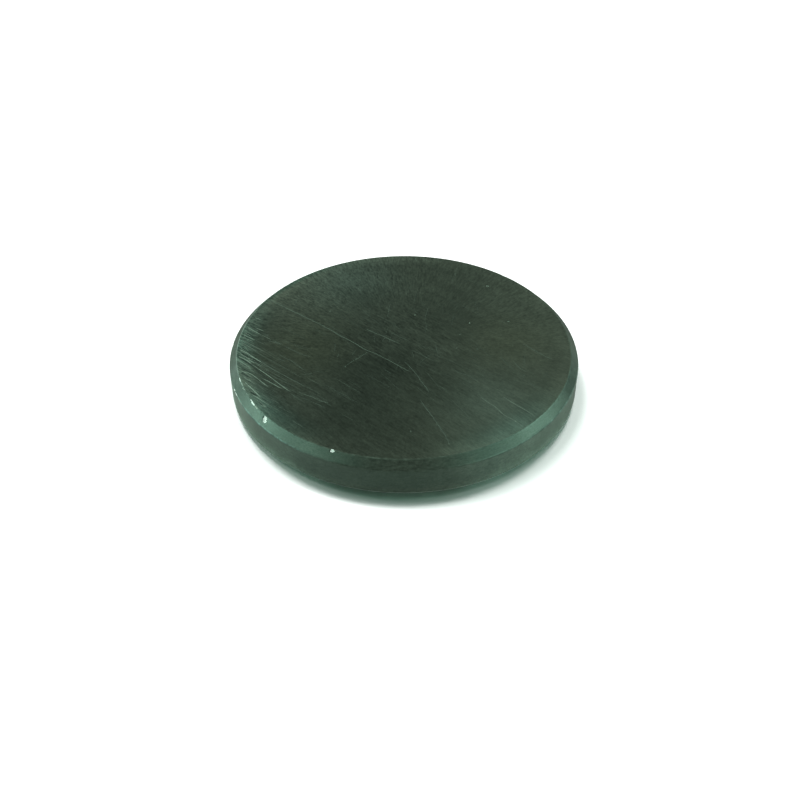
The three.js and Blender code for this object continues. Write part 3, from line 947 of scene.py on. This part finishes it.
def shell_material():
    t, col, line, grain, up = plastic("satin_shell", BASE)
    p, x, y, z, rad, az = t.mm()
    # Painted light and shade: broad brighter and darker patches on the top face: x, y, radius, gain.
    painted_light_gain = 1.0
    for cx, cy, rr, g in ((-10.0, 16.0, 15.0, 0.69), (-3.5, -7.5, 13.0, -0.45), (19.0, -2.0, 11.0, 0.51),
                          (14.0, -12.0, 11.0, 0.67), (12.0, -20.0, 13.0, 0.83), (18.0, 10.5, 12.0, 0.47),
                          (-16.5, -4.0, 7.5, -0.13), (2.0, 6.0, 9.0, -0.11), (-1.0, -20.0, 9.0, -0.11),
                          (-10.0, -16.5, 9.0, -0.23), (9.0, 0.0, 9.0, 0.20), (6.0, 16.0, 9.0, 0.06),
                          (-18.0, 8.0, 8.0, 0.08), (10.0, -10.0, 7.0, 0.08), (-8.0, 4.0, 8.0, -0.15),
                          (-6.0, 12.0, 8.0, -0.44), (-2.0, 17.0, 7.0, -0.04), (4.0, 10.0, 7.0, -0.05),
                          (-13.0, -12.0, 6.0, 0.11), (0.0, -11.0, 7.0, 0.16), (-18.0, 15.0, 8.0, 0.29)):
        painted_light_gain = t.math("ADD", t.math("MULTIPLY", t.spot(cx, cy, rr), g), painted_light_gain)
    # A painted sheen just inside the chamfer, its strength by azimuth from the front.
    painted_sheen_band = t.stops(t.math("ADD", t.math("DIVIDE", az, 2 * math.pi), 0.5),
                   [(0.000, 0.30), (0.083, 0.33), (0.167, 0.44), (0.250, 0.68), (0.306, 1.00), (0.335, 1.00),
                    (0.375, 0.26), (0.405, 0.23), (0.430, 0.14), (0.460, 0.00), (0.520, 0.05), (0.555, 0.37),
                    (0.583, 0.53), (0.625, 0.36), (0.667, 0.34), (0.720, 0.24), (0.780, 0.08), (0.830, 0.09),
                    (0.920, 0.11), (1.000, 0.30)])
    # At the left the painted sheen is broken into streaks rather than an even haze.
    streak = t.ramp(t.strokes(-40, 0.05, 5.2, 9.0, 0.10, 3.0, 0.60), 0.42, 0.60, 0.15, 1.90)
    painted_sheen_band = t.math("MULTIPLY", painted_sheen_band, t.blend(t.spot(-23.5, -0.5, 14.0), 1.0, streak))
    painted_light_gain = t.math("ADD", painted_light_gain, t.math("MULTIPLY", t.math("MULTIPLY", painted_sheen_band, t.ramp(rad, 20.9, 23.7)), 2.4))
    # Painted light on the wall, by azimuth: brighter at the sides than at the front.
    turn = t.math("ADD", t.math("DIVIDE", az, 2 * math.pi), 0.5)
    painted_wall_light = t.stops(turn, [(0.0, 1.10), (0.22, 1.30), (0.306, 2.40), (0.333, 2.45), (0.361, 2.00), (0.389, 1.58), (0.417, 1.12),
                          (0.445, 0.82), (0.48, 0.70), (0.515, 0.70), (0.535, 0.84), (0.556, 1.26), (0.583, 1.84),
                          (0.611, 2.32), (0.639, 2.02), (0.667, 1.98), (0.694, 1.56), (0.75, 1.20), (1.0, 1.10)])
    # Painted bounce light: the wall is brighter towards its foot.
    painted_wall_light = t.math("MULTIPLY", painted_wall_light, t.ramp(z, CHAMFER - 0.2, CHAMFER + 2.2, 1.30, 1.0))
    # More painted bounce light on the lower wall and the lower chamfer, by azimuth.
    painted_foot_light = t.stops(turn, [(0.0, 1.0), (0.25, 1.0), (0.306, 1.5), (0.333, 1.8), (0.361, 1.65), (0.389, 2.15), (0.417, 1.8),
                          (0.444, 1.3), (0.50, 1.3), (0.528, 1.3), (0.556, 1.6), (0.583, 1.35), (0.639, 1.45), (0.667, 1.2),
                          (0.72, 1.0), (1.0, 1.0)])
    painted_wall_light = t.math("MULTIPLY", painted_wall_light, t.blend(t.ramp(z, CHAMFER - 0.4, CHAMFER + 1.4, 1.0, 0.0), 1.0, painted_foot_light))
    # Painted light on the upper chamfer, by azimuth.
    painted_chamfer_light = t.stops(turn, [(0.0, 0.95), (0.20, 1.30), (0.26, 1.55), (0.285, 1.05), (0.306, 1.22), (0.333, 0.96), (0.361, 0.90),
                           (0.389, 1.08), (0.417, 1.66), (0.445, 0.96), (0.50, 1.00), (0.556, 0.98), (0.583, 1.10),
                           (0.611, 1.40), (0.64, 1.00), (0.667, 1.24), (0.694, 0.76), (0.722, 1.75), (0.80, 1.10), (1.0, 0.95)])
    painted_wall_light = t.blend(t.ramp(z, T - CHAMFER - 0.35, T - CHAMFER + 0.1), painted_wall_light, painted_chamfer_light)
    painted_light_gain = t.blend(up, painted_wall_light, t.math("MAXIMUM", painted_light_gain, 0.4))
    col = t.scale(col, painted_light_gain)
    # A slight drift between olive and blue-grey.
    olive = t.math("ADD", t.math("MULTIPLY", t.spot(-14.5, -1.0, 12.0), 0.8), t.math("MULTIPLY", t.spot(15.0, 1.0, 10.0), 0.45))
    cool = t.math("ADD", t.spot(-8.0, 17.0, 12.0), t.math("MULTIPLY", t.spot(12.0, -14.0, 12.0), 0.8))
    col = t.multiply(col, (1.06, 1.00, 0.86), t.math("MULTIPLY", olive, up))
    col = t.multiply(col, (0.90, 1.00, 1.06), t.math("MULTIPLY", cool, up))
    rim_left = t.math("MULTIPLY", t.math("MAXIMUM", t.spot(-25.0, 0.0, 15.0), t.spot(-18.5, -14.5, 12.0)), t.ramp(rad, 19.5, 22.8))
    col = t.multiply(col, (0.74, 1.00, 1.06), t.math("MULTIPLY", rim_left, up))
    rim_right = t.math("MULTIPLY", t.spot(14.0, -19.0, 15.0), t.ramp(rad, 19.0, 23.0))
    col = t.multiply(col, (0.84, 1.00, 1.03), t.math("MULTIPLY", rim_right, up))
    rim_back = t.math("MULTIPLY", t.spot(-18.0, 16.0, 13.0), t.ramp(rad, 22.6, 23.9))
    col = t.multiply(col, (0.55, 0.80, 0.80), t.math("MULTIPLY", rim_back, up))
    # Rubbed edges, broken up by noise, and by azimuth also lightened as a painted highlight.
    def edge(r0, z0, width):
        d = t.math("SQRT", t.math("ADD", t.math("POWER", t.math("SUBTRACT", rad, r0), 2.0), t.math("POWER", t.math("SUBTRACT", z, z0), 2.0)))
        return t.ramp(d, 0.03, width, 1.0, 0.0)
    broken = t.ramp(t.noise(p, 1.1, 4.0, 0.65), 0.40, 0.66)
    inner = t.stops(turn, [(0.0, 0.8), (0.24, 0.7), (0.27, 0.12), (0.325, 0.12), (0.38, 0.9), (0.44, 1.0), (1.0, 0.8)])
    e = t.math("MULTIPLY", t.math("MULTIPLY", edge(FLAT_R, T, 0.20), t.math("ADD", 0.40, broken)), inner)
    wear_and_sheen = t.stops(turn, [(0.0, 0.30), (0.27, 0.35), (0.30, 1.40), (0.36, 1.45), (0.39, 1.00), (0.42, 0.80), (0.45, 0.30),
                          (0.55, 0.26), (0.60, 0.60), (0.64, 0.60), (0.70, 0.70), (0.76, 0.35), (1.0, 0.30)])
    for r0, z0, w, k in ((R - 0.05, T - CHAMFER, 0.17, wear_and_sheen), (R, CHAMFER, 0.22, 0.2), (FLAT_R, 0.0, 0.2, 0.4)):
        e = t.math("MAXIMUM", e, t.math("MULTIPLY", edge(r0, z0, w), t.math("MULTIPLY", t.math("ADD", 0.35, broken), k)))
    col = t.mix(t.math("MULTIPLY", e, 0.5), col, EDGE)
    # Painted highlight: at the sides the upper outer edge is lightened to a paler line.
    painted_edge_highlight = t.stops(turn, [(0.0, 0.0), (0.28, 0.0), (0.31, 0.8), (0.335, 1.5), (0.365, 1.6), (0.40, 0.6), (0.45, 0.0), (0.58, 0.0), (0.62, 0.35),
                          (0.70, 0.45), (0.76, 0.0), (1.0, 0.0)])
    painted_edge_highlight = t.math("MULTIPLY", t.math("MULTIPLY", edge(R - 0.04, T - CHAMFER, 0.19), painted_edge_highlight), t.math("ADD", 0.35, broken))
    col = t.mix(t.math("MULTIPLY", painted_edge_highlight, 0.55), col, (0.22, 0.30, 0.26))
    # The lower chamfer is lightened, partly scuffs from the table and partly painted bounce light from the floor.
    low = t.math("MULTIPLY", t.ramp(z, CHAMFER - 0.25, CHAMFER + 0.05, 1.0, 0.0), t.math("SUBTRACT", 1.0, up))
    col = t.mix(t.math("MULTIPLY", low, t.ramp(broken, 0.0, 1.0, 0.50, 0.95)), col, tuple(1.3 * c for c in EDGE))
    # Fine rubbing near the left edge of the top face.
    left = t.math("MULTIPLY", t.spot(-21.5, -4.5, 8.5), up)
    rubbed = t.math("MULTIPLY", left, t.ramp(t.strokes(-41, 0.05, 6.0, 12.0, 0.10, 3.0, 0.6), 0.50, 0.66))
    col = t.mix(t.math("MULTIPLY", rubbed, 0.60), col, EDGE)
    blotch = t.ramp(t.noise(p, 0.30, 2.0, 0.5), 0.32, 0.68, 0.88, 1.12, False)
    col = t.scale(col, t.blend(up, blotch, 1.0))
    # Painted reflection tint: the sides of the wall are cooler than its front.
    painted_reflection_tint = t.stops(turn, [(0.0, 0.3), (0.22, 0.4), (0.30, 1.0), (0.40, 1.0), (0.46, 0.30), (0.53, 0.30), (0.58, 1.0), (0.70, 1.0), (0.78, 0.4), (1.0, 0.3)])
    col = t.multiply(col, (0.82, 1.00, 1.05), t.math("MULTIPLY", t.math("SUBTRACT", 1.0, up), painted_reflection_tint))
    t.put(t.bsdf.inputs["Base Color"], col)
    t.put(t.bsdf.inputs["Roughness"], t.ramp(line, 0.35, 0.65, 0.33, 0.45))
    gloss = t.stops(turn, [(0.0, 0.30), (0.20, 0.28), (0.26, 0.38), (0.29, 0.5), (0.72, 0.5), (0.80, 0.36), (1.0, 0.30)])
    t.put(t.bsdf.inputs["Specular IOR Level"], t.blend(up, gloss, 0.5))
    t.put(t.bsdf.inputs["Specular Tint"], t.mix(up, SIDE_TINT, SPEC_TINT[:3]))
    n = t.bump(line, 0.5, 0.012)
    n = t.bump(grain, 0.35, 0.006, n)
    t.put(t.bsdf.inputs["Normal"], n)
    # The sanded skin breaks up glancing reflections, on the flats and round the back of the chamfer.
    slope_dull = t.math("MULTIPLY", t.ramp(z, T - CHAMFER - 0.2, T - CHAMFER + 0.1),
                        t.stops(turn, [(0.0, 0.60), (0.23, 0.60), (0.27, 0.45), (0.285, 0.0), (0.73, 0.0), (0.78, 0.45), (1.0, 0.60)]))
    foot_dull = t.ramp(t.math("ABSOLUTE", t.math("SUBTRACT", z, CHAMFER)), 0.12, 0.40, 0.42, 0.0)
    t.dulled(col, n, t.blend(up, t.math("MAXIMUM", slope_dull, foot_dull), t.glancing()))
    return t.mat


def mark_material(name, dark, light, rough, scale=6.0):
    """Colour inside a scratch, scuff or chip: lightened bare plastic, partly a painted glint on the brightest, and
    darker in level 7 grooves.
    """
    t = Tree(name)
    p = t.mm()[0]
    n1 = t.noise(p, scale, 4.0, 0.65)
    col = t.mix(t.ramp(n1, 0.3, 0.7), dark, light)
    t.put(t.bsdf.inputs["Base Color"], col)
    t.put(t.bsdf.inputs["Roughness"], t.ramp(n1, 0.3, 0.7, rough - 0.06, rough + 0.08))
    t.bsdf.inputs["Specular Tint"].default_value = SPEC_TINT
    n = t.bump(n1, 0.5, 0.01)
    t.put(t.bsdf.inputs["Normal"], n)
    if rough == 0.42:                   # scratches on the flat go dull with the skin round them
        t.dulled(col, n, t.glancing())
    return t.mat


def cover_material():
    t, col, line, grain, up = plastic("satin_cover", tuple(0.92 * c for c in BASE), 0.8)
    t.put(t.bsdf.inputs["Base Color"], col)
    t.put(t.bsdf.inputs["Roughness"], t.ramp(grain, 0.3, 0.7, 0.44, 0.56))
    t.bsdf.inputs["Specular Tint"].default_value = SPEC_TINT
    n = t.bump(line, 0.35, 0.01)
    t.put(t.bsdf.inputs["Normal"], t.bump(grain, 0.6, 0.012, n))
    return t.mat


def steel_material():
    t = Tree("stamped_steel")
    p = t.mm()[0]
    rolled = t.strokes(12, 0.3, 12.0, 21.0, 0.1)
    blotch = t.noise(p, 0.35, 4.0, 0.6)
    col = t.mix(t.ramp(blotch, 0.35, 0.65), (0.36, 0.36, 0.35), (0.52, 0.52, 0.50))
    col = t.mix(t.ramp(rolled, 0.5, 0.72, 0.0, 0.35), col, (0.30, 0.30, 0.29))
    t.put(t.bsdf.inputs["Base Color"], col)
    t.bsdf.inputs["Metallic"].default_value = 1.0
    t.put(t.bsdf.inputs["Roughness"], t.ramp(rolled, 0.3, 0.7, 0.28, 0.46))
    t.put(t.bsdf.inputs["Normal"], t.bump(rolled, 0.3, 0.01))
    return t.mat


def foam_material():
    t = Tree("foam_tape")
    p = t.mm()[0]
    v = t.node("ShaderNodeTexVoronoi", feature="F1")
    t.put(v.inputs["Vector"], p)
    v.inputs["Scale"].default_value = 5.0
    cells = v.outputs["Distance"]
    col = t.mix(t.ramp(cells, 0.1, 0.6), (0.56, 0.54, 0.47), (0.74, 0.72, 0.65))
    t.put(t.bsdf.inputs["Base Color"], col)
    t.put(t.bsdf.inputs["Roughness"], t.ramp(cells, 0.1, 0.6, 0.95, 0.8))
    t.put(t.bsdf.inputs["Normal"], t.bump(cells, 0.5, 0.03))
    return t.mat


M_SHELL = shell_material()
# Scuffs and chips are lightened bare plastic; at the left chamfer edges they are also painted glints, the chips near
# white.
M_SCUFF_GLINT = mark_material("scuff_and_glint", (0.16, 0.19, 0.16), (0.42, 0.47, 0.41), 0.5)
M_CHIP_GLINT = mark_material("chip_and_glint", (0.78, 0.83, 0.79), (0.96, 0.98, 0.96), 0.34)
M_SCRATCH = [mark_material("scratch_%d" % (i + 1), tuple(0.85 * k * c for c in (0.84, 1.0, 0.83)),
                           tuple(1.15 * k * c for c in (0.84, 1.0, 0.83)), 0.42)
             for i, k in enumerate((0.068, 0.085, 0.110, 0.155, 0.215, 0.300, 0.020))]
M_COVER = cover_material()
M_STEEL = steel_material()
M_FOAM = foam_material()

shell = build_shell([M_SHELL, M_SCUFF_GLINT, M_CHIP_GLINT, *M_SCRATCH])
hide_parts("body_shell")
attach(shell, "root")

# Foam tape: a disc whose cut edge bulges where it is pressed between the weight and its neighbour.
for node in ("tape_upper", "tape_lower"):
    lo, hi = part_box(node)
    r, z0, z1 = hi.x / MM, lo.z / MM, hi.z / MM
    b, _, _ = turned(node, [(0.0, z1, None, 0), (r, z1, 0.17, 5), (r, z0, 0.17, 5), (0.0, z0, None, 0)], [8, 1, 8], None)
    foam = b.make(node + "_foam", [M_FOAM])
    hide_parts(node)
    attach(foam, "root")

for name, mat in (("base_cover", M_COVER), ("steel_weight", M_STEEL)):
    o = frame["nodes"][name]
    o.data.materials.clear()
    o.data.materials.append(mat)

# ------------------------------------------------------------------ studio
def plane(name, size, z, mat):
    mesh = bpy.data.meshes.new(name)
    h = size / 2
    mesh.from_pydata([(-h, -h, z), (h, -h, z), (h, h, z), (-h, h, z)], [], [(0, 1, 2, 3)])
    mesh.materials.append(mat)
    o = bpy.data.objects.new(name, mesh)
    bpy.context.scene.collection.objects.link(o)
    return o


ft = Tree("white_floor")                # brighter to the camera than to the object, so that it photographs as white
f_path = ft.node("ShaderNodeLightPath")
f_rad, f_az = ft.mm()[4:6]
# Painted contact shadow: the floor seen by the camera is darkened just in front of the disc.
front = ft.stops(ft.math("ADD", ft.math("DIVIDE", f_az, 2 * math.pi), 0.5), [(0.0, 0.0), (0.41, 0.0), (0.455, 1.0), (0.53, 1.0), (0.58, 0.0), (1.0, 0.0)])
painted_contact_shadow = ft.math("MULTIPLY", front, ft.ramp(f_rad, FLAT_R - 0.5, R + 1.6, 0.55, 0.0))
seen = ft.mix(painted_contact_shadow, (1.0, 1.0, 1.0), (0.14, 0.17, 0.15))
ft.put(ft.bsdf.inputs["Base Color"], ft.mix(f_path.outputs["Is Camera Ray"], (0.33, 0.36, 0.33), seen))
far = ft.math("MULTIPLY", f_path.outputs["Is Camera Ray"], ft.ramp(f_rad, 70.0, 260.0))
ft.put(ft.bsdf.inputs["Emission Color"], (1.0, 1.0, 1.0, 1.0))
ft.put(ft.bsdf.inputs["Emission Strength"], far)
ft.bsdf.inputs["Roughness"].default_value = 0.9
ft.bsdf.inputs["Specular IOR Level"].default_value = 0.0
floor = plane("floor", 8.0, -0.00002, ft.mat)


def area(name, loc, target, sx, sy, power, color):
    d = bpy.data.lights.new(name, "AREA")
    d.shape = "RECTANGLE"
    d.size, d.size_y = sx, sy
    d.energy = power
    d.color = color
    o = bpy.data.objects.new(name, d)
    o.location = loc
    o.rotation_mode = "QUATERNION"
    o.rotation_quaternion = (Vector(target) - Vector(loc)).to_track_quat("-Z", "Y")
    bpy.context.scene.collection.objects.link(o)
    return o


def soft_light(name, az, el, sx, sy, radiance, color, lit):
    """A rectangular soft light 0.6 m away, azimuth from the front towards +X. lit: what it lights."""
    a, h = math.radians(az), math.radians(el)
    loc = (0.6 * math.sin(a) * math.cos(h), -0.6 * math.cos(a) * math.cos(h), 0.6 * math.sin(h))
    o = area(name, loc, (0, 0, T * MM / 2), sx, sy, math.pi * sx * sy * radiance, color)
    o.light_linking.receiver_collection = lit
    return o


TINT = (0.80, 1.0, 0.90)
WHITE = (1.0, 1.0, 1.0)
SHADE = (0.50, 1.0, 0.75)
on_object = bpy.data.collections.new("lit_by_tent")
for o in bpy.context.scene.objects:
    if o.type == "MESH" and o.name != "floor":
        on_object.objects.link(o)
on_floor = bpy.data.collections.new("lit_by_key")
on_floor.objects.link(floor)
for name, az, el, sx, sy, radiance in (
        ("tent_left_low", -95, 14, 0.30, 0.20, 6.4), ("tent_left", -95, 32, 0.30, 0.25, 6.4),
        ("tent_back_left", -140, 14, 0.30, 0.20, 9.5), ("tent_front_left", -55, 35, 0.30, 0.30, 2.85),
        ("tent_front_right", 55, 35, 0.30, 0.30, 2.3), ("tent_right_low", 55, 12, 0.30, 0.16, 8.5),
        ("tent_right", 95, 32, 0.30, 0.25, 9.3), ("tent_back", 180, 20, 0.30, 0.25, 0.27)):
    soft_light(name, az, el, sx, sy, radiance, TINT, on_object)
for name, az, el, size, radiance, color in (
        ("key_left", -140, 60, 0.14, 34.0, WHITE), ("key_left_high", -145, 72, 0.12, 25.0, WHITE),
        ("key_right_high", 145, 72, 0.12, 38.0, WHITE), ("side_left", -105, 45, 0.16, 6.2, WHITE),
        ("side_right", 95, 62, 0.14, 4.8, WHITE), ("floor_fill", 0, 90, 0.90, 0.37, SHADE)):
    soft_light(name, az, el, size, size, radiance, color, on_floor)
# Light scattered inside the white floor reaches under the disc, and comes back up on its lower edge.
scatter = soft_light("floor_scatter", 0, 90, 0.90, 0.90, 0.085, SHADE, on_floor)
scatter.light_linking.blocker_collection = on_floor
glow = area("floor_glow", (0, 0, -0.25), (0, 0, 0), 0.34, 0.34, math.pi * 0.34 * 0.34 * 1.3, TINT)
glow.light_linking.receiver_collection = on_object
glow.light_linking.blocker_collection = on_object

world = bpy.data.worlds.new("studio")
bpy.context.scene.world = world
world.use_nodes = True
wn = world.node_tree
wn.nodes.clear()
w_out = wn.nodes.new("ShaderNodeOutputWorld")
w_mix = wn.nodes.new("ShaderNodeMixShader")
w_path = wn.nodes.new("ShaderNodeLightPath")
w_seen = wn.nodes.new("ShaderNodeBackground")
w_fill = wn.nodes.new("ShaderNodeBackground")
w_seen.inputs[0].default_value = (1.0, 1.0, 1.0, 1)
w_seen.inputs[1].default_value = 1.0
w_fill.inputs[0].default_value = (0.80, 1.0, 0.90, 1)
w_fill.inputs[1].default_value = 0.004
wn.links.new(w_path.outputs["Is Camera Ray"], w_mix.inputs[0])
wn.links.new(w_fill.outputs[0], w_mix.inputs[1])
wn.links.new(w_seen.outputs[0], w_mix.inputs[2])
wn.links.new(w_mix.outputs[0], w_out.inputs[0])

# ------------------------------------------------------------------ camera
E, DIST, FOCAL, PITCH, YAW, ROLL = 36.986, 5.966, 1035.9, 3.038, -0.284, -0.335
e, tilt, yaw, roll = (math.radians(v) for v in (E, E + PITCH, YAW, ROLL))
eye = Vector((0, -math.cos(e), math.sin(e))) * (DIST * R * MM) + Vector((0, 0, T * MM))
forward = Vector((math.sin(yaw) * math.cos(tilt), math.cos(yaw) * math.cos(tilt), -math.sin(tilt)))
right = forward.cross(Vector((0, 0, 1))).normalized()
upward = right.cross(forward)
cr, sn = math.cos(roll), math.sin(roll)
right2, up2 = right * cr + upward * sn, upward * cr - right * sn
cam_data = bpy.data.cameras.new("camera")
cam_data.sensor_width = 36.0
cam_data.lens = FOCAL / 800.0 * 36.0
cam_data.clip_start, cam_data.clip_end = 0.005, 20.0
cam = bpy.data.objects.new("camera", cam_data)
bpy.context.scene.collection.objects.link(cam)
m = Matrix((right2, up2, -forward)).transposed().to_4x4()
m.translation = eye
cam.matrix_world = m
bpy.context.scene.camera = cam

bpy.context.scene.view_settings.view_transform = "Standard"
bpy.context.scene.view_settings.look = "None"

bpy.context.view_layer.update()
